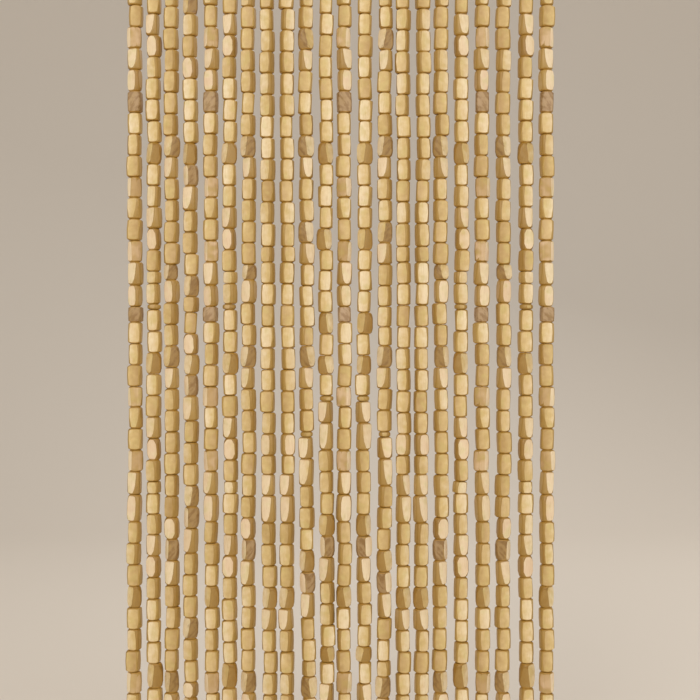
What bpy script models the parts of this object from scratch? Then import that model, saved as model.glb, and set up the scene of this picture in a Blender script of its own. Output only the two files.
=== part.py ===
"""Bead curtain: twenty-two strings of hand-cut wooden beads that hang from a narrow heading tape.

The tape is sewn along its lower edge to a narrow braid, and every string is rooted in that braid.
Metres, +Z up, front towards -Y. The origin is the middle of the tape's top edge, which holds the curtain up.
"""

import math

import bmesh
import bpy

MM = 0.001

# Driving sizes of the heading.
TAPE_WIDTH = 368 * MM
TAPE_HEIGHT = 25 * MM
TAPE_THICKNESS = 2.4 * MM
TAPE_EDGE_ROUNDING = 0.5 * MM
SEAM_GAP = 0.3 * MM
BRAID_WIDTH = 364 * MM
BRAID_HEIGHT = 3.2 * MM
BRAID_THICKNESS = 2.4 * MM

# Driving sizes of a string: its beads, the cord above them and the knot below them.
BEAD_COUNT = 41
BEAD_LENGTHS = {
    "disc": 4.8 * MM,
    "tiny": 10.2 * MM,
    "short": 13.2 * MM,
    "stubby": 16.0 * MM,
    "slim": 17.4 * MM,
    "usual": 18.2 * MM,
    "full": 19.6 * MM,
    "long": 21.0 * MM,
    "longest": 23.0 * MM,
}
BELLY_WIDTH = 12.6 * MM
BELLY_FRONT = 5.6 * MM
BELLY_BACK = 6.4 * MM
BELLY_UNEVENNESS = 0.04
DISC_SHARE = 0.82
WAIST_SHARE = 0.74
CORD_SHARE = 0.19
KNOT_SHARE = 0.34
CORD_ROOT_DEPTH = 1.6 * MM
CORD_LENGTH = 6.0 * MM
END_CHAMFER = 0.4 * MM
KNOT_DROP = 4.5 * MM
HEM_DROP = BEAD_COUNT * BEAD_LENGTHS["usual"]
SWAY = 0.6 * MM
SWAY_WAVES = 1.6

# How the beads that aren't of the usual length come in each threading order, counted from the top.
# The odd ones near the lower end are picked by the threader to level the hem. A thin disc comes on
# top of the usual count.
THREADING = {
    "A": {14: "slim", 18: "full", 20: "short", 24: "slim", 28: "full", 29: "longest", 38: "stubby"},
    "B": {18: "tiny", 19: "slim", 20: "disc", 29: "tiny", 30: "slim", 31: "slim", 38: "long"},
    "C": {18: "short", 19: "full", 32: "long"},
    "D": {16: "full", 17: "short", 27: "stubby", 29: "longest"},
    "E": {19: "slim", 20: "slim", 21: "stubby", 26: "disc", 28: "longest", 34: "long", 37: "short", 40: "short"},
    "F": {17: "slim", 18: "slim", 22: "stubby", 24: "disc", 26: "longest", 32: "long", 36: "short", 39: "short",
          41: "short"},
    "G": {14: "long", 19: "short", 21: "slim", 22: "slim", 24: "long", 30: "long", 37: "short", 40: "stubby"},
}

# One row for each string, from left to right: where it leaves the braid, how far it drifts sideways
# by its lower end, how much lower than the highest string its first bead starts, and its threading.
STRING_COLUMNS = ("place", "drift", "start", "order")
STRING_TABLE = (
    (-174.8 * MM, -0.6 * MM, 0.0 * MM, "A"),
    (-159.2 * MM, 0.4 * MM, 7.2 * MM, "B"),
    (-144.2 * MM, 0.6 * MM, 1.2 * MM, "C"),
    (-128.2 * MM, 1.2 * MM, 7.6 * MM, "G"),
    (-110.8 * MM, 0.8 * MM, 0.0 * MM, "A"),
    (-94.4 * MM, 0.2 * MM, 7.2 * MM, "B"),
    (-78.9 * MM, 0.6 * MM, 1.2 * MM, "C"),
    (-63.2 * MM, 2.6 * MM, 3.0 * MM, "D"),
    (-45.8 * MM, 0.2 * MM, 3.0 * MM, "D"),
    (-30.6 * MM, 3.0 * MM, 1.2 * MM, "E"),
    (-13.2 * MM, 1.4 * MM, 7.2 * MM, "F"),
    (2.9 * MM, -0.4 * MM, 0.0 * MM, "A"),
    (20.6 * MM, -1.8 * MM, 7.2 * MM, "F"),
    (38.4 * MM, -2.4 * MM, 1.2 * MM, "E"),
    (53.0 * MM, 0.0 * MM, 3.0 * MM, "D"),
    (70.0 * MM, -2.8 * MM, 3.0 * MM, "D"),
    (85.4 * MM, -1.2 * MM, 1.2 * MM, "C"),
    (102.3 * MM, -0.4 * MM, 7.2 * MM, "B"),
    (119.6 * MM, 0.4 * MM, 0.0 * MM, "A"),
    (138.1 * MM, -0.4 * MM, 1.2 * MM, "C"),
    (156.9 * MM, 0.2 * MM, 7.2 * MM, "B"),
    (174.8 * MM, -0.2 * MM, 0.0 * MM, "A"),
)
STRINGS = [dict(zip(STRING_COLUMNS, row)) for row in STRING_TABLE]

BRAID_TOP = -TAPE_HEIGHT - SEAM_GAP
BRAID_BOTTOM = BRAID_TOP - BRAID_HEIGHT
HIGHEST_BEAD = BRAID_BOTTOM - CORD_LENGTH

WOOD = {"colour": (0.66, 0.43, 0.19, 1.0), "roughness": 0.5}
COTTON = {"colour": (0.70, 0.62, 0.48, 1.0), "roughness": 0.9}


def clear_scene():
    for obj in list(bpy.data.objects):
        bpy.data.objects.remove(obj)


def new_collection(name):
    collection = bpy.data.collections.new(name)
    bpy.context.scene.collection.children.link(collection)
    return collection


def material(name, finish):
    made = bpy.data.materials.new(name)
    made.use_nodes = True
    shader = made.node_tree.nodes["Principled BSDF"]
    shader.inputs["Base Color"].default_value = finish["colour"]
    shader.inputs["Roughness"].default_value = finish["roughness"]
    shader.inputs["Metallic"].default_value = 0.0
    return made


def box(name, size, centre, collection):
    """A block with its size in the mesh and no scale on the object."""
    mesh = bpy.data.meshes.new(name)
    shape = bmesh.new()
    bmesh.ops.create_cube(shape, size=1.0)
    bmesh.ops.scale(shape, vec=size, verts=shape.verts)
    shape.to_mesh(mesh)
    shape.free()
    block = bpy.data.objects.new(name, mesh)
    block.location = centre
    collection.objects.link(block)
    return block


def heading_tape(collection):
    """The folded cotton tape that the curtain is held up by, flat on its back."""
    centre = (0, 0, -TAPE_HEIGHT / 2)
    tape = box("heading_tape", (TAPE_WIDTH, TAPE_THICKNESS, TAPE_HEIGHT), centre, collection)
    rounding = tape.modifiers.new("rounded fold and selvedges", "BEVEL")
    rounding.width = TAPE_EDGE_ROUNDING
    rounding.segments = 2
    tape.data.materials.append(material("heading cotton", COTTON))
    return tape


def bead_lengths(order):
    """Lengths of one string's beads from the top down."""
    odd = THREADING[order]
    count = BEAD_COUNT + list(odd.values()).count("disc")
    return [BEAD_LENGTHS[odd.get(number, "usual")] for number in range(1, count + 1)]


def belly_share(number, bead, length):
    """How much wider or narrower than the usual one a bead is cut, a little different on each."""
    size = DISC_SHARE if length == BEAD_LENGTHS["disc"] else 1.0
    return size * (1 + BELLY_UNEVENNESS * math.sin(2.4 * bead + 1.7 * number))


def string_axis(string, number, height):
    """The sideways place of a string at a height: its drift, and a slow sway of its own."""
    fallen = max(0.0, (first_bead_top(string) - height) / HEM_DROP)
    turn = 2 * math.pi * (SWAY_WAVES * fallen + 0.37 * number)
    return string["place"] + fallen * (string["drift"] + SWAY * math.sin(turn))


def first_bead_top(string):
    return HIGHEST_BEAD - string["start"]


def string_rings(string, number):
    """Heights and width shares of one string: cord, then waist and belly of each bead, then the knot."""
    top = first_bead_top(string)
    rings = [
        (BRAID_BOTTOM + CORD_ROOT_DEPTH, CORD_SHARE),
        (top, CORD_SHARE),
        (top - END_CHAMFER, WAIST_SHARE),
    ]
    for bead, length in enumerate(bead_lengths(string["order"]), start=1):
        rings.append((top - length / 2, belly_share(number, bead, length)))
        rings.append((top - length, WAIST_SHARE))
        top -= length
    rings.append((top - END_CHAMFER, CORD_SHARE))
    rings.append((top - KNOT_DROP, KNOT_SHARE))
    return rings


def bead_section(collection):
    """The three-cornered section of a string at a bead's belly, as a closed outline for the curves."""
    outline = bpy.data.curves.new("bead_section", "CURVE")
    spline = outline.splines.new("POLY")
    spline.points.add(2)
    half = BELLY_WIDTH / 2
    corners = ((-half, -BELLY_FRONT), (half, -BELLY_FRONT), (0, BELLY_BACK))
    for point, (across, through) in zip(spline.points, corners):
        point.co = (across, through, 0, 1)
    spline.use_cyclic_u = True
    section = bpy.data.objects.new("bead_section", outline)
    section.hide_render = True
    collection.objects.link(section)
    return section


def bead_string(number, string, section, collection):
    """One string as a closed mesh: a straight-sided curve whose width follows the beads."""
    rings = string_rings(string, number)
    route = bpy.data.curves.new(f"string_{number:02d}", "CURVE")
    route.dimensions = "3D"
    route.bevel_mode = "OBJECT"
    route.bevel_object = section
    route.use_fill_caps = True
    spline = route.splines.new("POLY")
    spline.points.add(len(rings) - 1)
    for point, (height, share) in zip(spline.points, rings):
        point.co = (string_axis(string, number, height), 0, height, 1)
        point.radius = share
    curve = bpy.data.objects.new(route.name, route)
    collection.objects.link(curve)

    bpy.context.view_layer.update()
    graph = bpy.context.evaluated_depsgraph_get()
    mesh = bpy.data.meshes.new_from_object(curve.evaluated_get(graph))
    shape = bmesh.new()
    shape.from_mesh(mesh)
    bmesh.ops.remove_doubles(shape, verts=shape.verts, dist=0.01 * MM)
    bmesh.ops.recalc_face_normals(shape, faces=shape.faces)
    shape.to_mesh(mesh)
    shape.free()
    solid = bpy.data.objects.new(route.name + "_solid", mesh)
    solid.matrix_world = curve.matrix_world
    solid.display_type = "WIRE"
    solid.hide_render = True
    collection.objects.link(solid)
    bpy.data.objects.remove(curve)
    return solid


def bead_strings(collection, helpers):
    """The braid with all the strings rooted in it, as one solid."""
    centre = (0, 0, BRAID_TOP - BRAID_HEIGHT / 2)
    braid = box("bead_strings", (BRAID_WIDTH, BRAID_THICKNESS, BRAID_HEIGHT), centre, collection)
    section = bead_section(helpers)
    strings = new_collection("strings before they are rooted")
    for number, string in enumerate(STRINGS, start=1):
        bead_string(number, string, section, strings)
    rooting = braid.modifiers.new("strings rooted in the braid", "BOOLEAN")
    rooting.operation = "UNION"
    rooting.operand_type = "COLLECTION"
    rooting.collection = strings
    rooting.solver = "EXACT"
    braid.data.materials.append(material("bead wood", WOOD))
    return braid


def main():
    clear_scene()
    curtain = new_collection("bead curtain")
    helpers = new_collection("helpers")
    heading_tape(curtain)
    bead_strings(curtain, helpers)


main()
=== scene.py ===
# %% [markdown]
# # A curtain of hand-cut wooden beads
#
# Cords hang side by side from a narrow cotton tape, and each one is threaded from top to bottom
# with wooden beads. A bead starts as a turned barrel, dyed ochre. A knife then takes flat slices
# off its sides, so pale wood shows on the slices and the dye stays in the strips between them. On
# each bead's dark side that ochre is partly painted shade, and its pale side carries a painted highlight.
#
# The solids of the curtain come first, as a frame that nothing here moves. Each piece below
# takes its size and place from that frame.

# %% The frame
import math
import random

import bpy
from mathutils import Euler, Matrix, Vector


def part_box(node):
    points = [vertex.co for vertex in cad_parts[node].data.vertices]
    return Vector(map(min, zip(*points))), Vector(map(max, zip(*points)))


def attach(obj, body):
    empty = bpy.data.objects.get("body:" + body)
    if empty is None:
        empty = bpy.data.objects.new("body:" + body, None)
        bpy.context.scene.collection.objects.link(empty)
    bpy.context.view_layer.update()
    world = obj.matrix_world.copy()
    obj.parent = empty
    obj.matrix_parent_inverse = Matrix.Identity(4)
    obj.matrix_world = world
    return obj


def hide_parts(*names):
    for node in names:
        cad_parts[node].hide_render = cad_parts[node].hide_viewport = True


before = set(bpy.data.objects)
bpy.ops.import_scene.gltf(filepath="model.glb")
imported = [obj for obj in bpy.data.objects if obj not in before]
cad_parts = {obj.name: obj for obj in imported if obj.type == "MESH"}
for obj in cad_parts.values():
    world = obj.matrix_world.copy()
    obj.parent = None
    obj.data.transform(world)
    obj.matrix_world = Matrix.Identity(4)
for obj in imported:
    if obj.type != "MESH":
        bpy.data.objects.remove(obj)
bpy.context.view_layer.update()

tape_low, tape_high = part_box("heading_tape")
strings_low, strings_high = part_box("bead_strings")

# %% [markdown]
# ## How each cord is threaded
#
# The beads aren't all of one length, and a threader who repeats a few orders of beads gives the
# curtain its rhythm. Here and there a thin disc takes up the slack. A short table of those orders
# says where every joint between two beads lies. It holds the same named sizes that the solids
# are made from, so each bead here lies in its own swelling of the solid string.

# %% Beads and threading orders
MM = 0.001
BEAD_COUNT = 41
BEAD_LENGTHS = {
    "disc": 4.8 * MM,
    "tiny": 10.2 * MM,
    "short": 13.2 * MM,
    "stubby": 16.0 * MM,
    "slim": 17.4 * MM,
    "usual": 18.2 * MM,
    "full": 19.6 * MM,
    "long": 21.0 * MM,
    "longest": 23.0 * MM,
}
THREADING = {
    "A": {14: "slim", 18: "full", 20: "short", 24: "slim", 28: "full", 29: "longest", 38: "stubby"},
    "B": {18: "tiny", 19: "slim", 20: "disc", 29: "tiny", 30: "slim", 31: "slim", 38: "long"},
    "C": {18: "short", 19: "full", 32: "long"},
    "D": {16: "full", 17: "short", 27: "stubby", 29: "longest"},
    "E": {19: "slim", 20: "slim", 21: "stubby", 26: "disc", 28: "longest", 34: "long", 37: "short",
          40: "short"},
    "F": {17: "slim", 18: "slim", 22: "stubby", 24: "disc", 26: "longest", 32: "long", 36: "short",
          39: "short", 41: "short"},
    "G": {14: "long", 19: "short", 21: "slim", 22: "slim", 24: "long", 30: "long", 37: "short",
          40: "stubby"},
}


def bead_lengths(order):
    """Lengths of one string's beads from the top down. A disc comes on top of the usual count."""
    odd = THREADING[order]
    count = BEAD_COUNT + list(odd.values()).count("disc")
    return [BEAD_LENGTHS[odd.get(number, "usual")] for number in range(1, count + 1)]


for order in THREADING:
    print(f"order {order}: {sum(bead_lengths(order)) / MM:.1f} mm of beads")

# %% [markdown]
# ## Where each string hangs
#
# A string isn't quite straight: it leaves the braid at its own place, drifts a little to one side
# and sways as it falls. One row for each string gives those places, and a sine along the way
# down does the swaying. Every piece that rides on a string asks the same function for its
# middle, so beads, cord and knot stay in line.

# %% Places of the strings
STRING_COLUMNS = ("place", "drift", "start", "order")
STRING_TABLE = (
    (-174.8 * MM, -0.6 * MM, 0.0 * MM, "A"),
    (-159.2 * MM, 0.4 * MM, 7.2 * MM, "B"),
    (-144.2 * MM, 0.6 * MM, 1.2 * MM, "C"),
    (-128.2 * MM, 1.2 * MM, 7.6 * MM, "G"),
    (-110.8 * MM, 0.8 * MM, 0.0 * MM, "A"),
    (-94.4 * MM, 0.2 * MM, 7.2 * MM, "B"),
    (-78.9 * MM, 0.6 * MM, 1.2 * MM, "C"),
    (-63.2 * MM, 2.6 * MM, 3.0 * MM, "D"),
    (-45.8 * MM, 0.2 * MM, 3.0 * MM, "D"),
    (-30.6 * MM, 3.0 * MM, 1.2 * MM, "E"),
    (-13.2 * MM, 1.4 * MM, 7.2 * MM, "F"),
    (2.9 * MM, -0.4 * MM, 0.0 * MM, "A"),
    (20.6 * MM, -1.8 * MM, 7.2 * MM, "F"),
    (38.4 * MM, -2.4 * MM, 1.2 * MM, "E"),
    (53.0 * MM, 0.0 * MM, 3.0 * MM, "D"),
    (70.0 * MM, -2.8 * MM, 3.0 * MM, "D"),
    (85.4 * MM, -1.2 * MM, 1.2 * MM, "C"),
    (102.3 * MM, -0.4 * MM, 7.2 * MM, "B"),
    (119.6 * MM, 0.4 * MM, 0.0 * MM, "A"),
    (138.1 * MM, -0.4 * MM, 1.2 * MM, "C"),
    (156.9 * MM, 0.2 * MM, 7.2 * MM, "B"),
    (174.8 * MM, -0.2 * MM, 0.0 * MM, "A"),
)
STRINGS = [dict(zip(STRING_COLUMNS, row)) for row in STRING_TABLE]
BRAID_HEIGHT = 3.2 * MM
BRAID_BOTTOM = strings_high.z - BRAID_HEIGHT
CORD_LENGTH = 6.0 * MM
HIGHEST_BEAD = BRAID_BOTTOM - CORD_LENGTH
HEM_DROP = BEAD_COUNT * BEAD_LENGTHS["usual"]
SWAY = 0.6 * MM
SWAY_WAVES = 1.6
SWAY_STEP = 0.37


def first_bead_top(string):
    return HIGHEST_BEAD - string["start"]


def string_axis(string, number, height):
    """The sideways place of a string at a height: its drift, and a slow sway of its own."""
    fallen = max(0.0, (first_bead_top(string) - height) / HEM_DROP)
    turn = 2 * math.pi * (SWAY_WAVES * fallen + SWAY_STEP * number)
    return string["place"] + fallen * (string["drift"] + SWAY * math.sin(turn))


print(len(STRINGS), "strings, first bead at", round(HIGHEST_BEAD / MM, 1), "mm")

# %% [markdown]
# ## Small helpers for working by hand
#
# An operator acts on whatever is selected, so every step starts from an empty selection and
# picks its own faces or edges by where they are. The mesh data is only up to date in object
# mode, so the picking is done there, between two steps in edit mode.

# %% Selecting
def pick_only(*objects):
    bpy.ops.object.select_all(action="DESELECT")
    for obj in objects:
        obj.select_set(True)
    bpy.context.view_layer.objects.active = objects[0]


def edit(obj):
    pick_only(obj)
    bpy.ops.object.mode_set(mode="EDIT")
    bpy.ops.mesh.select_all(action="DESELECT")


def pick_parts(parts, wanted):
    """Selects only the vertices or faces that a test picks. Parts is a function that lists them."""
    bpy.ops.mesh.select_all(action="DESELECT")
    bpy.ops.object.mode_set(mode="OBJECT")
    for part in parts():
        part.select = wanted(part)
    bpy.ops.object.mode_set(mode="EDIT")


bpy.ops.object.select_all(action="DESELECT")
print("selected at the start:", len(bpy.context.selected_objects), "objects")

# %% [markdown]
# ## The turned blank
#
# Every bead starts on the lathe as a short barrel with rounded ends. A cylinder already has the
# right sides, so it only needs rings: flat cuts add them, and each ring is then scaled to its
# radius. Subdividing would give the same shape with ten times the faces, and there are hundreds
# of beads, so each has only a few dozen. A profile gives the height and radius of the rings in
# the upper half, and the lower half has the same ones.

# %% Turning a blank
BLANK_SIDES = 12
BLANK_LENGTH = BEAD_LENGTHS["usual"]
END_RADIUS = 4.6 * MM
END_ROUNDING = 1.5 * MM
SHOULDER = BLANK_LENGTH / 2 - END_ROUNDING
HALFWAY = SHOULDER * 0.55
RING_REACH = 0.1 * MM


def turned_blank(name, profile):
    """A barrel on the Z axis with its middle at the origin."""
    bpy.ops.mesh.primitive_cylinder_add(
        vertices=BLANK_SIDES, radius=END_RADIUS, depth=BLANK_LENGTH, end_fill_type="NGON"
    )
    blank = bpy.context.object
    blank.name = name
    rings = {side * height: radius for height, radius in profile for side in (-1, 1)}
    edit(blank)
    for height in rings:
        bpy.ops.mesh.select_all(action="SELECT")
        bpy.ops.mesh.bisect(plane_co=(0, 0, height), plane_no=(0, 0, 1))
    for height, radius in rings.items():
        pick_parts(lambda: blank.data.vertices, lambda vertex: abs(vertex.co.z - height) < RING_REACH)
        growth = radius / END_RADIUS
        bpy.ops.transform.resize(value=(growth, growth, 1), center_override=(0, 0, height))
    bpy.ops.object.mode_set(mode="OBJECT")
    return blank


SQUARE = ((0.0, 6.9 * MM), (SHOULDER, 6.5 * MM))
STRAIGHT = ((0.0, 6.5 * MM), (SHOULDER, 6.15 * MM))
SLACK = ((HALFWAY, 6.55 * MM), (SHOULDER, 5.85 * MM))
ROUND = ((HALFWAY, 6.65 * MM), (SHOULDER, 5.6 * MM))
example = turned_blank("example", ROUND)
print("a round blank has", len(example.data.polygons), "faces")
bpy.data.objects.remove(example)

# %% [markdown]
# ## Where the knife goes
#
# A slice is one flat cut down the side of the barrel. Straight down a barrel the edge of a cut
# is a rounded rectangle, and where the knife leans it is a wedge, wide at one end and narrow at
# the other. Both are what the real facets look like. Each shape of bead is a few such cuts: which
# way a cut faces, how deep it sits, how far it leans and how clean of dye it comes out. Cuts on a
# bead's dark side come out nearly as dark as its skin, partly dye and partly painted shade. A cut
# that is cleaner than 1 comes out paler still, partly bare wood and partly a painted highlight.

# %% Shapes of bead
def stroke(turn, depth, lean, clean):
    """One stroke of the knife. Turn 0 faces the front and grows to the right, a lean tips it up."""
    return {"turn": turn, "depth": depth, "lean": lean, "clean": clean}


# Cuts on a bead's dark side are left nearly uncleaned, so they come out dark: partly dye, partly painted
# shade. Cuts cleaner than 1 are painted highlight strips as well as bare wood.
BEAD_SHAPES = {
    "broad": (SQUARE, (stroke(6, 5.1 * MM, 0, 1.0), stroke(96, 5.55 * MM, 1, 0.8),
                       stroke(-84, 5.65 * MM, -2, 0.3), stroke(182, 5.4 * MM, 1, 0.9))),
    "taper": (STRAIGHT, (stroke(14, 4.85 * MM, 3.5, 1.0), stroke(97, 5.6 * MM, -2, 0.7),
                         stroke(-86, 5.7 * MM, 2, 0.2), stroke(178, 5.4 * MM, -2, 0.9))),
    "wedge": (STRAIGHT, (stroke(33, 4.8 * MM, 7, 1.0), stroke(112, 5.6 * MM, -3, 0.8),
                         stroke(-76, 5.6 * MM, 2, 0.25), stroke(196, 5.4 * MM, 3, 0.9))),
    "strip": (STRAIGHT, (stroke(20, 4.8 * MM, 1, 1.0), stroke(104, 5.6 * MM, 2, 0.8),
                         stroke(-76, 5.6 * MM, -1, 0.3), stroke(188, 5.3 * MM, -1, 0.9))),
    "half": (SLACK, (stroke(31, 4.7 * MM, -1, 1.0), stroke(115, 5.7 * MM, 1, 0.8),
                     stroke(-72, 5.65 * MM, 2, 0.3), stroke(204, 5.3 * MM, 2, 0.9))),
    "edge": (SLACK, (stroke(48, 4.6 * MM, 5, 1.0), stroke(-20, 5.25 * MM, -5, 0.15),
                     stroke(128, 5.7 * MM, 0, 0.7), stroke(206, 5.4 * MM, 1, 0.8))),
    "peeled": (SLACK, (stroke(60, 4.9 * MM, 1, 1.3), stroke(-10, 5.2 * MM, 0, 0.1),
                       stroke(132, 5.7 * MM, 0, 0.3), stroke(206, 5.4 * MM, 1, 0.6))),
    "oval": (ROUND, (stroke(24, 4.65 * MM, 1, 1.0), stroke(104, 6.0 * MM, 1, 0.8),
                     stroke(-84, 5.6 * MM, 0, 0.1), stroke(188, 5.3 * MM, -1, 0.9))),
    "rimmed": (STRAIGHT, (stroke(0, 5.3 * MM, 0, 0.8), stroke(54, 5.3 * MM, 2, 1.3),
                          stroke(-52, 5.6 * MM, -2, 1.08), stroke(180, 5.4 * MM, 1, 0.9))),
    "disc": (ROUND, (stroke(14, 6.1 * MM, 0, 0.7), stroke(160, 6.1 * MM, 0, 0.6))),
}

for shape, (_, strokes) in BEAD_SHAPES.items():
    print(f"{shape}: cuts that face", ", ".join(str(cut["turn"]) for cut in strokes), "degrees")

# %% [markdown]
# ## Slicing the facets
#
# The bisect operator does what the knife does: it cuts the mesh with a plane, drops what lies
# outside and fills the gap with a flat face. No two strokes are quite alike, so each one strays
# a little. Cut beads are then tumbled against each other, which rubs their edges soft. Weighted
# normals show that without a face more: the broad cuts stay flat to the light, and the narrow
# skin between them turns it round.

# %% Slicing
STROKE_TURN_STRAY = 5
STROKE_LEAN_STRAY = 1.5
STROKE_DEPTH_STRAY = (0.975, 1.025)
END_FACING = 0.99
RUBBING = 80


def cut_plane(turn, depth, lean):
    """A point on a cut and the direction it faces."""
    around, upwards = math.radians(turn), math.radians(lean)
    outward = Vector((math.sin(around), -math.cos(around), 0)) * math.cos(upwards)
    outward.z = math.sin(upwards)
    return outward * depth, outward


def strayed_cuts(strokes, side, draw):
    """The plane and the cleanness of each cut of one bead, painted shade and highlight included. Side -1
    has them the other way round.
    """
    cuts = []
    for cut in strokes:
        turn = cut["turn"] + draw.uniform(-STROKE_TURN_STRAY, STROKE_TURN_STRAY)
        lean = cut["lean"] + draw.uniform(-STROKE_LEAN_STRAY, STROKE_LEAN_STRAY)
        depth = cut["depth"] * draw.uniform(*STROKE_DEPTH_STRAY)
        cuts.append((*cut_plane(side * turn, depth, lean), cut["clean"]))
    return cuts


def apply_modifiers(obj):
    pick_only(obj)
    for modifier in list(obj.modifiers):
        bpy.ops.object.modifier_apply(modifier=modifier.name)


def sliced_bead(name, profile, cuts):
    bead = turned_blank(name, profile)
    edit(bead)
    for place, outward, _ in cuts:
        bpy.ops.mesh.select_all(action="SELECT")
        bpy.ops.mesh.bisect(plane_co=place, plane_no=outward, use_fill=True, clear_outer=True)
    pick_parts(lambda: bead.data.polygons, lambda face: abs(face.normal.z) > END_FACING)
    bpy.ops.mesh.mark_sharp()
    bpy.ops.object.mode_set(mode="OBJECT")
    bead.data.shade_smooth()
    rubbed = bead.modifiers.new("rubbed edges", "WEIGHTED_NORMAL")
    rubbed.keep_sharp = True
    rubbed.weight = RUBBING
    apply_modifiers(bead)
    return bead


print("a cut that faces right and leans up by 7 degrees faces", cut_plane(90, 5 * MM, 7)[1].to_tuple(2))

# %% [markdown]
# ## Marks for the finish
#
# The finish has to know a clean slice from the dyed skin, the ends of a bead from its middle and
# its pale side from its dark one. All three are written on the mesh as attributes. The first is a
# number for each face that says how clean of dye it is and how lit it is painted: low values on the
# dark side are painted shade as well as dye, and values over 1 are a painted highlight as well as
# bare wood. "along" runs from -1 to 1 from one end of the bead to the other, and "across" does the
# same from its dark side to its pale one. Three beads of each shape and hand are cut and marked,
# as patterns for all the others.

# %% Pattern beads
KNIFE_SEED = 7
STROKE_SETS = 3
SAME_FACING = 0.9995
HALF_WIDTH = 5.7 * MM


def new_attribute(mesh, name, domain, values):
    mesh.attributes.new(name, "FLOAT", domain).data.foreach_set("value", values)


def mark_for_finish(mesh, side, cuts):
    clean = [
        max([share for _, outward, share in cuts if face.normal.dot(outward) > SAME_FACING], default=0.0)
        for face in mesh.polygons
    ]
    new_attribute(mesh, "clean", "FACE", clean)
    new_attribute(mesh, "along", "POINT", [2 * vertex.co.z / BLANK_LENGTH for vertex in mesh.vertices])
    new_attribute(mesh, "across", "POINT", [side * vertex.co.x / HALF_WIDTH for vertex in mesh.vertices])


def pattern_bead(shape, side, stroke_set, draw):
    profile, strokes = BEAD_SHAPES[shape]
    cuts = strayed_cuts(strokes, side, draw)
    bead = sliced_bead(f"{shape}_{side}_{stroke_set}", profile, cuts)
    mark_for_finish(bead.data, side, cuts)
    return bead


knife = random.Random(KNIFE_SEED)
pattern_beads = {
    (shape, side, stroke_set): pattern_bead(shape, side, stroke_set, knife)
    for shape in BEAD_SHAPES
    for side in (-1, 1)
    for stroke_set in range(STROKE_SETS)
}
for shape in BEAD_SHAPES:
    bead = pattern_beads[shape, 1, 0]
    print(f"{shape}: {len(bead.data.polygons)} faces, {bead.dimensions.x / MM:.1f} mm wide")

# %% [markdown]
# ## Kinds of bead and their order
#
# A threader doesn't pick beads blindly. Pale ones, dull ones and the few with bark on them come
# round in a rhythm, and neighbouring strings share it. A letter stands for each kind: its shape,
# how pale its slices are, how deep the dye and painted shade on its skin are, how rosy it is and
# how far bark covers it. A word of these letters is then a whole string. A small letter is the
# same kind with its dark side on the other hand. Each string has its pale sides on the left, -1,
# or on the right, 1. Two of them are twisted, so below one bead they show their other side.

# %% The chart
# The third column darkens the skin: partly dye, partly painted shade on the bead's dark side.
KIND_COLUMNS = ("shape", "tone", "dye", "rosy", "bark")
KIND_TABLE = {
    "F": ("broad", 0.68, 0.30, 0.25, 0.0),
    "M": ("broad", 0.32, 0.25, 0.20, 0.0),
    "K": ("broad", 0.25, 0.40, 0.90, 1.6),
    "T": ("taper", 0.56, 0.40, 0.10, 0.0),
    "W": ("wedge", 0.90, 0.60, 0.45, 0.0),
    "B": ("edge", 0.66, 0.60, 0.15, 0.85),
    "S": ("strip", 0.44, 0.60, 0.20, 0.0),
    "V": ("strip", 0.60, 0.50, 0.20, 0.0),
    "P": ("peeled", 0.55, 0.60, 0.50, 0.85),
    "H": ("half", 0.95, 0.60, 0.75, 0.0),
    "D": ("edge", 0.50, 0.95, 0.05, 0.0),
    "O": ("oval", 0.95, 0.95, 0.80, 0.0),
    "R": ("rimmed", 0.12, 0.50, 0.60, 0.0),
    "N": ("disc", 0.30, 0.50, 0.30, 0.0),
}
BEAD_KINDS = {letter: dict(zip(KIND_COLUMNS, row)) for letter, row in KIND_TABLE.items()}
KIND_CHART = {
    "A": "FSMRTMRWHKFSMRTMRWHKFSMRTMRWHSSMDFSMRTMRW",
    "B": "FFDFMWOSFFFDFVWOSVVNFFDFMWOSVFSWOSFFFDFMWO",
    "C": "SBWSSMMSSMSBWSSMMBHSSBWSSMMSSOPWSSMMBHSSM",
    "D": "VFVVMVVSVVFVVMVVSVFMFVVMVHSWWSSMDWVMVSVFM",
    "E": "WMSFSSBWMFSBWSSBWSVVSBWSSNwwssMdpwMFSBWSFM",
    "F": "FFDFFFMFMFFDFFFDFFFDFDFNwwssmdpwssFDFwMFFD",
    "G": "PWSMBSMOFFFDPWSSMBSMODPWSSMBPWSSMBSMODPWF",
}
PALE_SIDES = (-1, -1, -1, -1, -1, -1, -1, -1, 1, 1, 1, 1, -1, -1, -1, 1, 1, 1, 1, 1, 1, 1)
TWISTED_BELOW = {9: 27, 15: 27}
for order, letters in KIND_CHART.items():
    counts = {letter: letters.upper().count(letter) for letter in BEAD_KINDS}
    print(order, len(letters), "beads:", ", ".join(f"{n} {kind}" for kind, n in counts.items() if n))

# %% [markdown]
# ## One bead on its cord
#
# A threaded bead is a copy of a pattern bead with its own mesh, scaled to its length, turned a
# little and leaned a little. Its tone and warmth stray from those of its kind by a seeded draw,
# so no two beads are quite alike. Half of the beads go on upside down, apart from the shapes
# that the threader always holds one way up. Turned over, a bead has its pale side on the other
# hand, so the opposite pattern is taken.

# %% Placing a bead
UPRIGHT_SHAPES = ("taper", "wedge", "edge")
FLIP_CHANCE = 0.5
JOINT_GAP = 0.2 * MM
TURN_SPREAD = 4.0
LEAN_SPREAD = 1.1
SHIFT_SPREAD = 0.4 * MM
TONE_SPREAD = 0.1
WIDTH_STRAY = (0.96, 1.03)
ROSY_STRAY = (0.4, 1.2)
DISC_SHARE = 0.82
BELLY_UNEVENNESS = 0.04
BELLY_BEAD_STEP = 2.4
BELLY_STRING_STEP = 1.7


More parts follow.
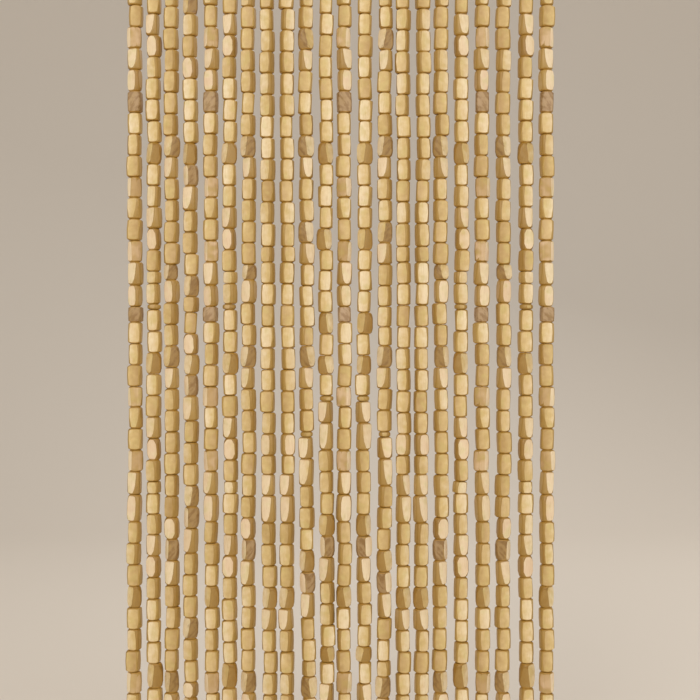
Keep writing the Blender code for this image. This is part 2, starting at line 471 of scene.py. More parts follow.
def new_object(name, data):
    made = bpy.data.objects.new(name, data)
    bpy.context.scene.collection.objects.link(made)
    return made


def belly_share(number, bead, length):
    """How much wider or narrower than the usual one a bead is cut, a little different on each."""
    size = DISC_SHARE if length == BEAD_LENGTHS["disc"] else 1.0
    stray = math.sin(BELLY_BEAD_STEP * bead + BELLY_STRING_STEP * number)
    return size * (1 + BELLY_UNEVENNESS * stray)


def pale_side(number, bead, letter):
    """The hand that a bead has its pale side on, -1 for the left and 1 for the right."""
    twisted = bead > TWISTED_BELOW.get(number, bead)
    return PALE_SIDES[number - 1] * (-1 if letter.islower() != twisted else 1)


def placed_bead(draw, number, string, bead, top, length):
    """A copy of a pattern bead in its place on a string, with its own tone."""
    letter = KIND_CHART[string["order"]][bead - 1]
    kind = BEAD_KINDS[letter.upper()]
    side = pale_side(number, bead, letter)
    flipped = kind["shape"] not in UPRIGHT_SHAPES and draw.random() < FLIP_CHANCE
    pattern = pattern_beads[kind["shape"], -side if flipped else side, draw.randrange(STROKE_SETS)]
    mesh = pattern.data.copy()

    nod, lean = (math.radians(draw.gauss(0, LEAN_SPREAD)) for _ in range(2))
    spin = math.radians(draw.gauss(0, TURN_SPREAD))
    turn = Euler((nod, lean + (math.pi if flipped else 0), spin)).to_matrix().to_4x4()
    width = belly_share(number, bead, length) * draw.uniform(*WIDTH_STRAY)
    size = Matrix.Diagonal((width, width, (length - JOINT_GAP) / BLANK_LENGTH, 1))
    middle = top - length / 2
    shift = draw.gauss(0, SHIFT_SPREAD)
    place = Matrix.Translation((string_axis(string, number, middle) + shift, 0, middle))
    mesh.transform(place @ turn @ size)

    faces = len(mesh.polygons)
    new_attribute(mesh, "tone", "FACE", [kind["tone"] + draw.gauss(0, TONE_SPREAD)] * faces)
    new_attribute(mesh, "dye", "FACE", [kind["dye"] + draw.gauss(0, TONE_SPREAD)] * faces)
    new_attribute(mesh, "rosy", "FACE", [kind["rosy"] * draw.uniform(*ROSY_STRAY)] * faces)
    new_attribute(mesh, "bark", "FACE", [kind["bark"]] * faces)
    return new_object(f"bead_{number}_{bead}", mesh)


widths = [belly_share(1, bead, BEAD_LENGTHS["usual"]) for bead in range(1, BEAD_COUNT + 1)]
print(f"beads of the first string are {min(widths):.2f} to {max(widths):.2f} of the usual width")

# %% [markdown]
# ## Threading the strings
#
# About forty beads go on a cord from the top down, each one right below the last. They are then
# joined into one piece, because a curtain is handled by its strings and not by its beads. The
# pattern beads have done their work and are thrown away.

# %% Threading
THREADER_SEED = 1000


def join(objects, name):
    """One object of many. The first one's mesh takes in all the others."""
    pick_only(*objects)
    bpy.ops.object.join()
    joined = bpy.context.object
    joined.name = name
    joined.data.name = name
    return joined


def threaded_string(number, string):
    draw = random.Random(THREADER_SEED + number)
    top = first_bead_top(string)
    beads = []
    for bead, length in enumerate(bead_lengths(string["order"]), start=1):
        beads.append(placed_bead(draw, number, string, bead, top, length))
        top -= length
    return join(beads, f"bead_string_{number:02d}")


bead_strings = [threaded_string(number, string) for number, string in enumerate(STRINGS, start=1)]
for bead in pattern_beads.values():
    bpy.data.objects.remove(bead)
print(len(bead_strings), "strings of", sum(len(piece.data.polygons) for piece in bead_strings), "faces")

# %% [markdown]
# ## Writing a finish as sums
#
# A procedural finish is arithmetic on sockets: a mask times a colour, a height plus a little
# noise. Drawn as nodes it is hard to read, so one small class wraps an output socket and turns
# Python's own signs into Math nodes.

# %% Sockets with signs
class Wire:
    """An output socket that can be added, subtracted, multiplied and divided, from either side."""

    def __init__(self, finish, socket):
        self.finish = finish
        self.socket = socket

    def __add__(self, other):
        return self.finish.maths("ADD", self, other)

    def __sub__(self, other):
        return self.finish.maths("SUBTRACT", self, other)

    def __rsub__(self, other):
        return self.finish.maths("SUBTRACT", other, self)

    def __mul__(self, other):
        return self.finish.maths("MULTIPLY", self, other)

    def __truediv__(self, other):
        return self.finish.maths("DIVIDE", self, other)

    def __rtruediv__(self, other):
        return self.finish.maths("DIVIDE", other, self)

    def __abs__(self):
        return self.finish.maths("ABSOLUTE", self, 0.0)

    __radd__ = __add__
    __rmul__ = __mul__


print("signs with a number on the left:", ", ".join(name for name in vars(Wire) if "__r" in name))

# %% [markdown]
# ## One way to add a node
#
# Every other node comes from one method that takes its kind, its settings and its inputs. The
# settings come first, because some of them decide which inputs a node has. The few nodes that
# come back in every finish have a short name of their own.

# %% A finish in the making
class Finish:
    """A material that is being made: its shader, and one way to add any node to it."""

    def __init__(self, name, roughness, specular=0.5):
        self.material = bpy.data.materials.new(name)
        self.material.use_nodes = True
        self.tree = self.material.node_tree
        self.shader = self.tree.nodes["Principled BSDF"]
        self.shader.inputs["Roughness"].default_value = roughness
        self.shader.inputs["Specular IOR Level"].default_value = specular

    def plug(self, value, socket):
        if isinstance(value, Wire):
            self.tree.links.new(value.socket, socket)
        else:
            socket.default_value = value

    def node(self, kind, settings=(), inputs=(), output=0):
        """Adds a node: its settings first, then its inputs, by name or place."""
        made = self.tree.nodes.new("ShaderNode" + kind)
        for name, value in dict(settings).items():
            if name == "stops":
                while len(made.color_ramp.elements) < len(value):
                    made.color_ramp.elements.new(1.0)
                for stop, (place, colour) in zip(made.color_ramp.elements, value):
                    stop.position, stop.color = place, colour
            else:
                setattr(made, name, value)
        for name, value in dict(inputs).items():
            self.plug(value, made.inputs[name])
        return Wire(self, made.outputs[output])

    def maths(self, operation, first, second):
        return self.node("Math", {"operation": operation}, {0: first, 1: second})

    def attribute(self, name):
        return self.node("Attribute", {"attribute_name": name}, output="Fac")

    def mix(self, share, first, second):
        """A colour between two others."""
        return self.node("Mix", {"data_type": "RGBA"}, {0: share, 6: first, 7: second}, output=2)

    def ramp(self, value, stops):
        return self.node("ValToRGB", {"stops": stops}, {0: value})

    def noise(self, where, scale, detail=2.0, roughness=0.5):
        inputs = {"Vector": where, "Scale": scale, "Detail": detail, "Roughness": roughness}
        return self.node("TexNoise", inputs=inputs)

    def between(self, value, low, high):
        """0 below low, 1 above high and a smooth step in the middle."""
        inputs = {"Value": value, "From Min": low, "From Max": high}
        return self.node("MapRange", {"interpolation_type": "SMOOTHSTEP"}, inputs)

    def bump(self, height, distance, strength):
        return self.node("Bump", inputs={"Height": height, "Distance": distance, "Strength": strength})

    def surface(self, **sockets):
        for name, value in sockets.items():
            self.plug(value, self.shader.inputs[name.replace("_", " ")])
        return self.material


print("short names for nodes:", ", ".join(name for name in vars(Finish) if "__" not in name))

# %% [markdown]
# ## Colours
#
# A colour is easiest to judge in the 0 to 255 steps that a picture program shows. A shader
# wants it linear, so one function turns the steps into shares of light.

# %% Shades
def shade(red, green, blue):
    """A linear colour from the 0 to 255 steps of a picture."""
    def linear(step):
        share = step / 255
        return share / 12.92 if share <= 0.04045 else ((share + 0.055) / 1.055) ** 2.4

    return (linear(red), linear(green), linear(blue), 1.0)


print("a middle grey is", [round(part, 3) for part in shade(128, 128, 128)[:3]])

# %% [markdown]
# ## Straw, dye and painted light
#
# Sliced faces are pale straw, and the skin between them keeps the ochre dye, which on a bead's dark
# side is partly painted shade. Straw is painted paler towards the bead's pale side and darker
# towards its dark side, a painted highlight and shade. Where a cut is cleaner than 1 it is palest,
# partly bare wood and partly a painted highlight. Clouds of dye lie over both, and broad tints make
# some of the wood greenish and some of it rosy. Fine streaks of grain run along each bead: a noise
# that is squeezed along Z draws long threads.

# %% Straw, dye and painted light
# The palest stop is a cool cream: partly the palest wood, partly a painted highlight that the pale edges of
# the palest beads reach.
STRAW_STOPS = (
    (0.0, shade(174, 137, 74)),
    (0.55, shade(213, 184, 121)),
    (1.0, shade(238, 219, 181)),
)
ROSY_STRAW = shade(230, 200, 166)
GREEN_STRAW = shade(206, 186, 122)
OCHRE = shade(185, 151, 82)
DEEP_OCHRE = shade(145, 104, 28)
# Painted highlight towards each bead's pale side and painted shade towards its dark side.
SIDE_HIGHLIGHT_AND_SHADE = 0.32
# Cuts cleaner than 1 are painted paler: partly bare wood, partly a painted highlight strip.
BARE_WOOD_AND_HIGHLIGHT = 0.8
BARE_AND_HIGHLIGHT_RANGE = (1.0, 1.3)
STRAW_CLOUDINESS = 0.6
DYE_CLOUDINESS = 0.5
TINT_SCALE = 120
GREEN_RANGE = (0.5, 0.75)
GREEN_SHARE = 0.4
ROSY_RANGE = (0.75, 0.35)
SLICE_SHARE = 0.92
CLOUD_SHARE = 0.12
GRAIN_RANGE = (0.46, 0.74)
GRAIN_SHARE = 0.3


def straw_dye_and_painted_light(wood, place, streaks, clouds):
    """The colour of sliced and dyed wood, with painted highlight and painted shade across each bead."""
    clean, tone, across = (wood.attribute(name) for name in ("clean", "tone", "across"))
    dye, rosy = (wood.attribute(name) for name in ("dye", "rosy"))
    tints = wood.noise(place, TINT_SCALE, detail=1.0)
    bare_and_highlight = wood.between(clean, *BARE_AND_HIGHLIGHT_RANGE) * BARE_WOOD_AND_HIGHLIGHT
    # Paleness holds a painted highlight towards the pale side, painted shade towards the dark side, and a
    # painted highlight on cuts cleaner than 1.
    paleness = tone + across * SIDE_HIGHLIGHT_AND_SHADE + (clouds - 0.5) * STRAW_CLOUDINESS + bare_and_highlight
    straw = wood.ramp(paleness, STRAW_STOPS)
    greenish = wood.mix(wood.between(tints, *GREEN_RANGE) * GREEN_SHARE, straw, GREEN_STRAW)
    slice_colour = wood.mix(rosy * wood.between(tints, *ROSY_RANGE), greenish, ROSY_STRAW)
    # The ochre skin is partly dye and partly painted shade, darkest on each bead's dark side.
    dyed_and_shaded_skin = wood.mix(dye + (clouds - 0.5) * DYE_CLOUDINESS, OCHRE, DEEP_OCHRE)
    body = wood.mix(clean * SLICE_SHARE + clouds * CLOUD_SHARE, dyed_and_shaded_skin, slice_colour)
    return wood.mix(wood.between(streaks, *GRAIN_RANGE) * GRAIN_SHARE, body, OCHRE)


print(len(STRAW_STOPS), "shades of straw")

# %% [markdown]
# ## Bark
#
# A few beads keep bark, which starts from their dark side and breaks up into slanting streaks.
# The bead's "bark" says how far it reaches, and each slice has taken some of it off. The streaks
# are a noise in a turned and stretched space. That space takes "across" for its X, so on a bead
# with its dark side on the other hand the streaks slope the other way, as if it was turned round.

# %% Bark
BARK = shade(153, 118, 60)
ROSY_BARK = shade(174, 146, 115)
BARK_LINES = shade(118, 80, 32)
BARK_SCALE = 200
BARK_SLOPE = -0.7
BARK_STRETCH = (0.6, 1.0, 1.6)
BARK_RAGGEDNESS = 1.6
BARK_DROOP = 0.35
BARK_SLICED_OFF = 0.5
BARK_BORDER = (-0.2, 0.6)
BARK_ONSET = (0.0, 0.3)
BARK_SHARE = 0.8
LINE_RANGE = (0.44, 0.62)
LINE_SHARE = 0.75


def with_bark(wood, place, colour):
    """A wood colour with bark over it."""
    clean, along, across = (wood.attribute(name) for name in ("clean", "along", "across"))
    rosy, bark = (wood.attribute(name) for name in ("rosy", "bark"))
    depth, height = (wood.node("SeparateXYZ", inputs={0: place}, output=axis) for axis in (1, 2))
    mirrored = wood.node("CombineXYZ", inputs={0: across * HALF_WIDTH, 1: depth, 2: height})
    turned = {"Vector": mirrored, "Rotation": (0, BARK_SLOPE, 0), "Scale": BARK_STRETCH}
    slanted = wood.node("Mapping", {"vector_type": "TEXTURE"}, turned)
    ragged = wood.noise(slanted, BARK_SCALE, detail=3.0, roughness=0.55)
    grown = bark * 2.0 - 1.0 - across - along * BARK_DROOP
    reach = grown - clean * BARK_SLICED_OFF + (ragged - 0.5) * BARK_RAGGEDNESS
    cover = wood.between(reach, *BARK_BORDER) * wood.between(bark, *BARK_ONSET)
    lines = wood.between(ragged, *LINE_RANGE) * LINE_SHARE
    bark_colour = wood.mix(lines, wood.mix(rosy, BARK, ROSY_BARK), BARK_LINES)
    return wood.mix(cover * BARK_SHARE, colour, bark_colour)


print("bark covers", round(100 * BARK_SHARE), "percent of the wood where it is thickest")

# %% [markdown]
# ## The wood's finish
#
# Dye soaks into the end grain, and the ends are also painted darker as shade in the joints between
# beads; together they draw a dark line at every joint, so the ends are coloured last. A slice is a
# little rougher than the dyed skin, which the tumbling has polished. With that the strings are
# done: each rides on the frame's one body and stands for its solid.

# %% Wood finish
BODY = "root"
GRAIN_SCALE = 1400
GRAIN_SQUEEZE = (1.0, 1.0, 0.08)
CLOUD_SCALE = 190
# The bead ends are painted darker: partly end-grain stain, partly painted shade in the joints.
END_GRAIN_AND_JOINT_SHADE = shade(165, 121, 38)
END_RANGE = (0.85, 0.97)
END_SHARE = 0.9
SKIN_ROUGHNESS = 0.4
SLICE_ROUGHNESS = 0.14
GRAIN_ROUGHNESS = 0.1
WOOD_RELIEF = 0.1 * MM
GRAIN_RELIEF_SHARE = 0.6


def wood_finish():
    wood = Finish("dyed_and_sliced_wood", roughness=0.5)
    place = wood.node("TexCoord", output="Object")
    squeezed = wood.node("Mapping", inputs={"Vector": place, "Scale": GRAIN_SQUEEZE})
    streaks = wood.noise(squeezed, GRAIN_SCALE, detail=3.0, roughness=0.6)
    clouds = wood.noise(place, CLOUD_SCALE)
    colour = with_bark(wood, place, straw_dye_and_painted_light(wood, place, streaks, clouds))
    end = wood.between(abs(wood.attribute("along")), *END_RANGE)
    sliced = wood.attribute("clean")
    relief = streaks * GRAIN_RELIEF_SHARE + clouds * (1 - GRAIN_RELIEF_SHARE)
    return wood.surface(
        Base_Color=wood.mix(end * END_SHARE, colour, END_GRAIN_AND_JOINT_SHADE),
        Roughness=SKIN_ROUGHNESS + SLICE_ROUGHNESS * sliced + GRAIN_ROUGHNESS * streaks,
        Normal=wood.bump(relief, WOOD_RELIEF, strength=0.6),
    )


def finish_piece(piece, node, material):
    piece.data.materials.clear()
    piece.data.materials.append(material)
    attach(piece, BODY)
    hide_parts(node)


bead_wood = wood_finish()
for piece in bead_strings:
    finish_piece(piece, "bead_strings", bead_wood)
print("wood on", len(bead_strings), "strings, of", len(bead_wood.node_tree.nodes), "nodes")

# %% [markdown]
# ## Tubes for thread and cord
#
# Thread, cord and braid are all round things that follow a line. A line with a round bevel is
# the plainest way to make one, and turned into a mesh it is a piece like any other.

# %% Tubes along lines
TUBE_ROUNDNESS = 1
TUBE_MERGE = 0.001 * MM


def tube(name, lines, radius):
    """Round tubes along lines of points, as one mesh."""
    curve = bpy.data.curves.new(name, "CURVE")
    curve.dimensions = "3D"
    curve.bevel_depth = radius
    curve.bevel_resolution = TUBE_ROUNDNESS
    curve.use_fill_caps = True
    for points in lines:
        spline = curve.splines.new("POLY")
        spline.points.add(len(points) - 1)
        for point, place in zip(spline.points, points):
            point.co = (*place, 1)
    made = new_object(name, curve)
    pick_only(made)
    bpy.ops.object.convert(target="MESH")
    edit(made)
    bpy.ops.mesh.select_all(action="SELECT")
    bpy.ops.mesh.remove_doubles(threshold=TUBE_MERGE)
    bpy.ops.mesh.normals_make_consistent(inside=False)
    bpy.ops.object.mode_set(mode="OBJECT")
    made.data.shade_smooth()
    return made


def steps_between(start, end, count):
    return [start + (end - start) * step / count for step in range(count + 1)]


print("four steps down a cord:", steps_between(0, -10, 4), "mm")

# %% [markdown]
# ## Cords
#
# One cotton cord runs from the braid down through all the beads of a string. Above the first
# bead it shows, so there it is three plies wound round each other. Inside the beads one round
# core is enough, with a point at every joint so that it stays in the middle of its string.

# %% Cords
CORD_RADIUS = 0.95 * MM
PLY_RADIUS = 0.52 * MM
PLY_WINDING = 0.47 * MM
PLY_PITCH = 4.2 * MM
PLY_STEPS = 10
CORD_ROOT = 1.6 * MM
CORD_HOLD = 1.0 * MM


def winding(string, number, ply):
    """One of three plies, from inside the braid into the first bead."""
    start, end = BRAID_BOTTOM + CORD_ROOT, first_bead_top(string) - CORD_HOLD
    points = []
    for height in steps_between(start, end, math.ceil((start - end) / PLY_PITCH * PLY_STEPS)):
        turn = 2 * math.pi * ((start - height) / PLY_PITCH + ply / 3)
        x = string_axis(string, number, height) + PLY_WINDING * math.cos(turn)
        points.append((x, PLY_WINDING * math.sin(turn), height))
    return points


def core_line(string, number):
    """The cord's line through its beads."""
    top = first_bead_top(string)
    heights = [top - CORD_HOLD]
    for length in bead_lengths(string["order"]):
        top -= length
        heights.append(top)
    return [(string_axis(string, number, height), 0, height) for height in heights]


plies = [winding(string, number, ply) for number, string in enumerate(STRINGS, start=1) for ply in range(3)]
cores = [core_line(string, number) for number, string in enumerate(STRINGS, start=1)]
cords = join([tube("plies", plies, PLY_RADIUS), tube("cores", cores, CORD_RADIUS)], "cords")
print("cords:", len(cords.data.polygons), "faces")

# %% [markdown]
# ## Knots
#
# Below the last bead the cord is tied, which holds the string together. The knot is hidden in
# the photograph, so it is a plain one: the cord goes round itself in a tight coil that swells in
# the middle, and a short tail hangs out of it. Half a sine gives the swelling, without its ends,
# where the coil would shrink to nothing.

# %% Knots
KNOT_TURNS = 2.5
KNOT_TURN_STEP = 0.21
KNOT_RADIUS = 1.3 * MM
KNOT_HEIGHT = 2.6 * MM
KNOT_STEPS = 30
SWELLING_START = 0.2
SWELLING_SPAN = 0.65
CORD_TUCK = 0.5 * MM
COIL_DROP = 0.9 * MM
TAIL_DROP = 1.0 * MM
TAIL_LENGTH = 3.2 * MM
TAIL_START = 0.3 * MM
TAIL_ASIDE = 0.6 * MM
TAIL_BACK = 0.4 * MM


def last_bead_end(string):
    return first_bead_top(string) - sum(bead_lengths(string["order"]))


def knot_line(string, number):
    """A coil of cord under the last bead, and its tail."""
    end = last_bead_end(string)
    middle = string_axis(string, number, end)
    points = [(middle, 0, end + CORD_TUCK)]
    for share in steps_between(0, 1, KNOT_STEPS):
        turn = 2 * math.pi * (KNOT_TURNS * share + KNOT_TURN_STEP * number)
        reach = KNOT_RADIUS * math.sin(math.pi * (SWELLING_START + share * SWELLING_SPAN))
        height = end - COIL_DROP - KNOT_HEIGHT * share
        points.append((middle + reach * math.cos(turn), reach * math.sin(turn), height))
    bottom = points[-1][2]
    points.append((middle + TAIL_START, 0, bottom - TAIL_DROP))
    points.append((middle + TAIL_ASIDE * math.cos(number), TAIL_BACK, bottom - TAIL_LENGTH))
    return points


knot_lines = [knot_line(string, number) for number, string in enumerate(STRINGS, start=1)]
knots = tube("knots", knot_lines, CORD_RADIUS)
print("knots:", len(knots.data.polygons), "faces")

# %% [markdown]
# ## The braid
#
# The cords are rooted in a narrow flat braid of three strands. Each strand follows the same
# line, a third of a period behind the last: it swings up and down once while it goes over and
# under twice. That is how a plait is laid by hand.

# %% Plaiting the braid
BRAID_PERIOD = 7.6 * MM
STRAND_RADIUS = 0.72 * MM
STRAND_STEPS = 12
BRAID_DEPTH = 0.48 * MM
braid_middle = BRAID_BOTTOM + BRAID_HEIGHT / 2
braid_swing = BRAID_HEIGHT / 2 - STRAND_RADIUS


def braid_strand(third):
    """One strand of the plait, from the left end of the curtain to the right end."""
    steps = round((strings_high.x - strings_low.x) / BRAID_PERIOD * STRAND_STEPS)
    points = []
    for x in steps_between(strings_low.x, strings_high.x, steps):
        turn = 2 * math.pi * (x / BRAID_PERIOD + third / 3)
        points.append((x, BRAID_DEPTH * math.sin(2 * turn), braid_middle + braid_swing * math.sin(turn)))
    return points


braid = tube("braid", [braid_strand(third) for third in range(3)], STRAND_RADIUS)
print("braid:", len(braid.data.polygons), "faces")

# %% [markdown]
# ## The heading tape
#
# The curtain hangs by a strip of cotton tape folded double along its top edge. It is made the
# way it is folded: a flat grid stands up as the front layer, its top edge is spun over half a
# turn for the fold, and the back layer is extruded down from there. Solidify then gives the
# cloth its thickness. The two ends are cut off straight, and a mark on their faces tells the
# finish that they show the ends of threads and no weave.

# %% Folding the tape
CLOTH = 1.0 * MM
FOLD_STEPS = 6
FOLD_REACH = 0.01 * MM
TAPE_COLUMNS = 92
TAPE_ROWS = 6
SOFT_ANGLE = math.radians(40)
CUT_END_FACING = 0.9
tape_length = tape_high.x - tape_low.x
fold_radius = (tape_high.y - tape_low.y - CLOTH) / 2
fold_centre = tape_high.z - fold_radius - CLOTH / 2
layer_height = fold_centre - tape_low.z


def two_layers():
    """The tape's cloth as a sheet without thickness: front layer, fold and back layer."""
    bpy.ops.mesh.primitive_grid_add(x_subdivisions=TAPE_COLUMNS, y_subdivisions=TAPE_ROWS, size=1)
    tape = bpy.context.object
    tape.name = "folded_tape"
    edit(tape)
    bpy.ops.mesh.select_all(action="SELECT")
    bpy.ops.transform.resize(value=(tape_length, layer_height, 1), center_override=(0, 0, 0))
    bpy.ops.transform.rotate(value=math.pi / 2, orient_axis="X", center_override=(0, 0, 0))
    bpy.ops.transform.translate(value=(0, -fold_radius, fold_centre - layer_height / 2))
    pick_parts(lambda: tape.data.vertices, lambda vertex: abs(vertex.co.z - fold_centre) < FOLD_REACH)
    bpy.ops.mesh.spin(steps=FOLD_STEPS, angle=math.pi, center=(0, 0, fold_centre), axis=(1, 0, 0))
    down = {"value": (0, 0, -layer_height / TAPE_ROWS)}
    for _ in range(TAPE_ROWS):
        bpy.ops.mesh.extrude_region_move(TRANSFORM_OT_translate=down)
    bpy.ops.mesh.select_all(action="SELECT")
    bpy.ops.mesh.normals_make_consistent(inside=False)
    bpy.ops.object.mode_set(mode="OBJECT")
    return tape


def folded_tape():
    tape = two_layers()
    thickness = tape.modifiers.new("cloth", "SOLIDIFY")
    thickness.thickness = CLOTH
    thickness.offset = 0
    apply_modifiers(tape)
    tape.data.shade_smooth()
    pick_only(tape)
    bpy.ops.object.shade_smooth_by_angle(angle=SOFT_ANGLE)
    ends = [1.0 if abs(face.normal.x) > CUT_END_FACING else 0.0 for face in tape.data.polygons]
    new_attribute(tape.data, "cut_end", "FACE", ends)
    return tape


tape = folded_tape()
print("tape:", [round(side / MM, 1) for side in tape.dimensions], "mm")

# %% [markdown]
# ## Stitches
#
# Two rows of running stitches hold the two layers of tape together. A stitch dives into the
# cloth, runs along its face and dives back, on one face and then on the other. Hand sewing
# wavers, so every stitch lies a little askew.

# %% Running stitches
STITCH_RADIUS = 0.3 * MM
STITCH_LENGTH = 2.6 * MM
STITCH_PITCH = 4.0 * MM
STITCH_BEND = 0.35 * MM
STITCH_DEPTH = 0.5 * MM
STITCH_RISE = 0.12 * MM
STITCH_WAVER = 0.1 * MM
STITCH_WAVER_STEP = 2.9
ROW_MARGIN = 4 * MM
STITCH_ROWS = (tape_low.z + 5.5 * MM, tape_high.z - 4.5 * MM)
face_depth = (tape_high.y - tape_low.y) / 2


def running_stitches(height):
    """Stitches along one row, in turn on the front and the back of the tape."""
    lines = []
    half_row = tape_high.x - ROW_MARGIN
    count = round(2 * half_row / STITCH_PITCH)
    for number, middle in enumerate(steps_between(-half_row, half_row, count)):
        for face in (-1, 1):
            x = middle + (0 if face < 0 else STITCH_PITCH / 2)
            left, right = x - STITCH_LENGTH / 2, x + STITCH_LENGTH / 2
            inside, outside = face * (face_depth - STITCH_DEPTH), face * (face_depth + STITCH_RISE)
            lift = STITCH_WAVER * math.sin(STITCH_WAVER_STEP * number)
            lines.append([
                (left, inside, height),
                (left + STITCH_BEND, outside, height + lift),
                (right - STITCH_BEND, outside, height - lift),
                (right, inside, height),
            ])
    return lines


stitch_lines = [line for height in STITCH_ROWS for line in running_stitches(height)]
stitches = tube("stitches", stitch_lines, STITCH_RADIUS)
print(len(stitch_lines), "stitches of", len(stitches.data.polygons), "faces")

# %% [markdown]
# ## The seam
#
# Below the stitches a thread goes round and round the tape's lower edge and the braid. It is the
# seam that the whole curtain hangs from. A coil would stand off the flat tape, so the cosine
# that takes the thread from front to back is squared off: it lies on one face, then on the other.

# %% Seam
SEAM_RADIUS = 0.32 * MM
SEAM_PITCH = 5.2 * MM
SEAM_STEPS = 16
SEAM_MARGIN = 1.5 * MM
SEAM_RISE = 0.22 * MM
SEAM_SQUARING = 0.45
SEAM_TOP = tape_low.z + 2.8 * MM
SEAM_BOTTOM = BRAID_BOTTOM - 0.15 * MM


def seam_line():
    """A thread that goes round the lower edge of the tape and the braid."""
    half = strings_high.x - SEAM_MARGIN
    middle, reach = (SEAM_TOP + SEAM_BOTTOM) / 2, (SEAM_TOP - SEAM_BOTTOM) / 2
    points = []
    for x in steps_between(-half, half, round(2 * half / SEAM_PITCH * SEAM_STEPS)):
        turn = 2 * math.pi * x / SEAM_PITCH
        depth = math.copysign(abs(math.cos(turn)) ** SEAM_SQUARING, math.cos(turn))
        points.append((x, -depth * (face_depth + SEAM_RISE), middle + reach * math.sin(turn)))
    return points


seam = tube("seam", [seam_line()], SEAM_RADIUS)
print("seam:", len(seam.data.polygons), "faces")

# %% [markdown]
# ## Woven cotton
#
# The tape is woven in a herringbone: fine ribs that slope one way in a band and the other way in
# the next. It takes two triangle waves, one for the bands and one for the ribs. The cut ends
# show a frayed noise in its place. All the cotton is left in its natural colour.

# %% Woven cotton
COTTON = shade(214, 200, 172)
COTTON_SHADOW = shade(168, 150, 118)
THREAD = shade(198, 178, 140)
HERRINGBONE_BAND = 9.0 * MM
RIB_PITCH = 1.15 * MM
RIB_SHARE = 0.7
THREAD_SHARE = 0.15
FIBRE_SCALE = 2600
FIBRE_SHARE = 0.3
FRAY_SCALE = 1500
HOLLOW_RANGE = (0.15, 0.85)
STAIN_SCALE = 60
STAIN_RANGE = (0.5, 0.8)
STAIN_SHARE = 0.15
CLOTH_ROUGHNESS = 0.82
FIBRE_ROUGHNESS = 0.12
WEAVE_RELIEF = 0.22 * MM


def woven_cotton():
    cloth = Finish("woven_cotton", roughness=0.9, specular=0.25)
    place = cloth.node("TexCoord", output="Object")
    across, up = (cloth.node("SeparateXYZ", inputs={0: place}, output=axis) for axis in (0, 2))
    zigzag = cloth.maths("PINGPONG", across, HERRINGBONE_BAND / 2)
    rib = cloth.maths("PINGPONG", up + zigzag, RIB_PITCH / 2) / (RIB_PITCH / 2)
    thread = cloth.maths("PINGPONG", across, RIB_PITCH / 4) / (RIB_PITCH / 4)
    fibres = cloth.noise(place, FIBRE_SCALE, detail=3.0)
    stains = cloth.noise(place, STAIN_SCALE)
    frayed = cloth.noise(place, FRAY_SCALE)
    weave = rib * RIB_SHARE + thread * THREAD_SHARE + fibres * FIBRE_SHARE
    cut_end = cloth.attribute("cut_end")
    height = weave * (1.0 - cut_end) + frayed * cut_end
    colour = cloth.mix(cloth.between(height, *HOLLOW_RANGE), COTTON_SHADOW, COTTON)
    worn = cloth.mix(cloth.between(stains, *STAIN_RANGE) * STAIN_SHARE, colour, THREAD)
    return cloth.surface(
        Base_Color=worn,
        Roughness=CLOTH_ROUGHNESS + FIBRE_ROUGHNESS * fibres,
        Normal=cloth.bump(height, WEAVE_RELIEF, strength=0.8),
    )


finish_piece(tape, "heading_tape", woven_cotton())
2 * layer_height + math.pi * fold_radius
print("cotton on the tape, of", len(tape.data.materials[0].node_tree.nodes), "nodes")

# %% [markdown]
# ## Twisted cotton
#
# Cord and thread have no weave, only soft fibres that slope round them, so they share a finish
# with a turned and squeezed noise. The sewing thread is a little darker than the cord.

# %% Twisted cotton
TWIST_SLOPE = (0, 0.6, 0)
TWIST_SQUEEZE = (1.0, 1.0, 0.2)
TWIST_SCALE = 3200
TWIST_RANGE = (0.35, 0.7)
CORD_ROUGHNESS = 0.8
FUZZ_ROUGHNESS = 0.15
TWIST_RELIEF = 0.12 * MM


def twisted_cotton(name, colour):
    cord = Finish(name, roughness=0.85, specular=0.25)
    place = cord.node("TexCoord", output="Object")
    turned = {"Vector": place, "Rotation": TWIST_SLOPE, "Scale": TWIST_SQUEEZE}
    fibres = cord.noise(cord.node("Mapping", inputs=turned), TWIST_SCALE, detail=3.0, roughness=0.6)
    return cord.surface(
        Base_Color=cord.mix(cord.between(fibres, *TWIST_RANGE), COTTON_SHADOW, colour),
        Roughness=CORD_ROUGHNESS + FUZZ_ROUGHNESS * fibres,
        Normal=cord.bump(fibres, TWIST_RELIEF, strength=0.7),
    )


cord_finish = twisted_cotton("twisted_cotton", COTTON)
thread_finish = twisted_cotton("sewing_thread", THREAD)
finish_piece(stitches, "heading_tape", thread_finish)
for piece in (cords, knots, braid):
    finish_piece(piece, "bead_strings", cord_finish)
finish_piece(seam, "bead_strings", thread_finish)
print("cotton on the stitches, the cords, the knots, the braid and the seam")

# %% [markdown]
# ## A plain studio
#
# The curtain hangs before a pale sheet of paper that lies on the floor and curves up behind it,
# so there is no corner between the two. The paper stands far enough back for soft light to
# reach it evenly.

# %% Paper sweep
PAPER = shade(216, 207, 196)
PAPER_WIDTH = 9.0
SWEEP_START = 1.6
SWEEP_RADIUS = 1.6
SWEEP_STEPS = 24
SWEEP_RISE = 3.0
FLOOR = strings_low.z - 45 * MM


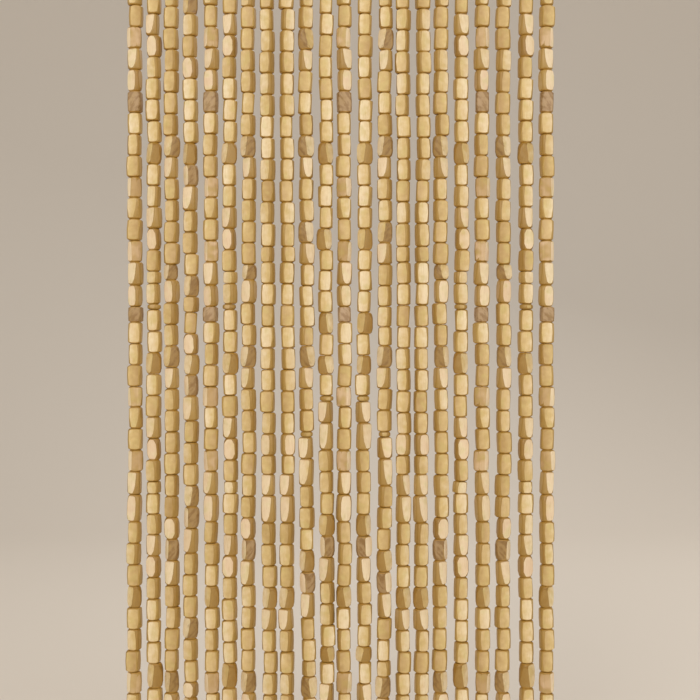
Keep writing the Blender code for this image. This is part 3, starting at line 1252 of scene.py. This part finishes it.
def paper_sweep():
    middle = SWEEP_START - PAPER_WIDTH / 2
    bpy.ops.mesh.primitive_plane_add(size=PAPER_WIDTH, location=(0, middle, FLOOR))
    paper = bpy.context.object
    paper.name = "paper_sweep"
    bpy.ops.object.transform_apply(location=True)
    edit(paper)
    pick_parts(lambda: paper.data.vertices, lambda vertex: vertex.co.y > middle)
    centre = (0, SWEEP_START, FLOOR + SWEEP_RADIUS)
    bpy.ops.mesh.spin(steps=SWEEP_STEPS, angle=-math.pi / 2, center=centre, axis=(1, 0, 0))
    bpy.ops.mesh.extrude_region_move(TRANSFORM_OT_translate={"value": (0, 0, SWEEP_RISE)})
    bpy.ops.mesh.select_all(action="SELECT")
    bpy.ops.mesh.normals_make_consistent(inside=True)
    bpy.ops.object.mode_set(mode="OBJECT")
    paper.data.shade_smooth()
    return paper


paper = paper_sweep()
paper.data.materials.append(Finish("paper", roughness=0.9, specular=0.2).surface(Base_Color=PAPER))
print("paper:", len(paper.data.polygons), "faces")

# %% [markdown]
# ## Soft light
#
# A wide lamp above the viewer's left shoulder gives the facets their difference in tone. A
# weaker one on the right keeps their dark sides open, a third behind draws a soft rim on them, and
# a pale room does the rest.

# %% Lamps
CURTAIN_MIDDLE = Vector((0, 0, -0.4))
LAMP_COLUMNS = ("name", "place", "size", "power", "tint")
LAMP_TABLE = (
    ("key", (-0.8, -2.2, 0.7), 0.9, 25, (1.0, 0.97, 0.92)),
    ("fill", (1.6, -1.7, 0.2), 1.1, 12, (0.95, 0.97, 1.0)),
    ("back", (0.7, 1.5, 1.1), 0.8, 16, (1.0, 0.98, 0.95)),
)
ROOM_COLOUR = shade(228, 224, 218)
ROOM_LIGHT = 0.78


def wide_lamp(name, place, size, power, tint):
    data = bpy.data.lights.new(name, "AREA")
    data.size = size
    data.energy = power
    data.color = tint
    lamp = new_object(name, data)
    lamp.location = place
    lamp.rotation_euler = (CURTAIN_MIDDLE - Vector(place)).to_track_quat("-Z", "Y").to_euler()


for row in LAMP_TABLE:
    wide_lamp(**dict(zip(LAMP_COLUMNS, row)))
room = bpy.data.worlds.new("pale_room")
room.use_nodes = True
room.node_tree.nodes["Background"].inputs["Color"].default_value = ROOM_COLOUR
room.node_tree.nodes["Background"].inputs["Strength"].default_value = ROOM_LIGHT
bpy.context.scene.world = room
bpy.context.scene.view_settings.view_transform = "Standard"
print(len(LAMP_TABLE), "lamps and a room of strength", ROOM_LIGHT)

# %% [markdown]
# ## The camera
#
# The photograph looks straight at the curtain and shows a square of it, with both ends out of
# sight. Twenty-two strings and the known height of one joint place the middle of that square.
# A longish lens keeps the outer strings from turning away.

# %% Camera
PIXEL = 0.85 * MM
FRAME_PIXELS = 700
STRINGS_MIDDLE_PIXEL = 341.0
JOINT_PIXEL = 91.8
BEADS_ABOVE_JOINT = 9
LENS = 60.0
SENSOR = 36.0
view_width = FRAME_PIXELS * PIXEL
joint_height = HIGHEST_BEAD - BEADS_ABOVE_JOINT * BEAD_LENGTHS["usual"]
frame_middle = Vector(
    (
        (FRAME_PIXELS / 2 - STRINGS_MIDDLE_PIXEL) * PIXEL,
        0,
        joint_height - (FRAME_PIXELS / 2 - JOINT_PIXEL) * PIXEL,
    )
)
camera_data = bpy.data.cameras.new("camera")
camera_data.lens = LENS
camera_data.sensor_width = SENSOR
camera = new_object("camera", camera_data)
camera.location = frame_middle + Vector((0, -view_width * LENS / SENSOR, 0))
camera.rotation_euler = (math.pi / 2, 0, 0)
bpy.context.scene.camera = camera
print("camera at", [round(part, 3) for part in camera.location], "m")

# %% [markdown]
# ## Sizes
#
# The pieces should fill the same box as the solids they stand for.
